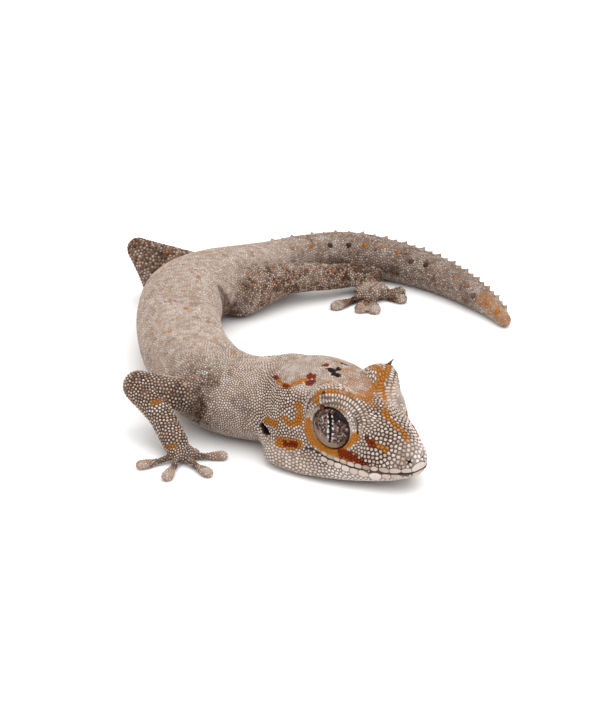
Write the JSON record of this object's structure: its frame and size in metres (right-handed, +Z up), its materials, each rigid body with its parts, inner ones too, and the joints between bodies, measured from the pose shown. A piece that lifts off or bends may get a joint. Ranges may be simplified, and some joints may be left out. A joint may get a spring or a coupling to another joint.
{
  "type": "northern spiny-tailed gecko",
  "caption": "Small grey gecko with orange markings, spined brows and a spined tail, resting with its body and tail bent round in a C.",
  "frame": {"origin": "on the floor, under the middle of the whole animal's box", "axes": "+Z up; +Y from the snout towards the base of the tail; +X from the outer flank of the bent body towards the tip of the tail"},
  "size_m": [0.0488, 0.071, 0.0116],
  "materials": {
    "skin": "matte granular skin, pale grey-beige with orange-brown marks",
    "leg_skin": "matte granular skin, dark brown with pale grains",
    "eye": "clear glossy scale over a grey-brown iris with a slit pupil"
  },
  "bodies": {
    "root": {"eye_left": "eye", "eye_right": "eye", "foreleg_left_foot": "leg_skin", "foreleg_left_lower": "leg_skin", "foreleg_left_upper": "leg_skin", "foreleg_right_foot": "leg_skin", "foreleg_right_lower": "leg_skin", "foreleg_right_upper": "leg_skin", "head": "skin", "hindleg_left_foot": "leg_skin", "hindleg_left_lower": "leg_skin", "hindleg_left_upper": "leg_skin", "hindleg_right_foot": "leg_skin", "hindleg_right_lower": "leg_skin", "hindleg_right_upper": "leg_skin", "hips": "skin", "neck": "skin", "tail_base": "skin", "tail_middle": "skin", "tail_rear": "skin", "tail_tip": "skin", "torso_front": "skin", "torso_middle": "skin", "torso_rear": "skin"}
  },
  "joints": []
}
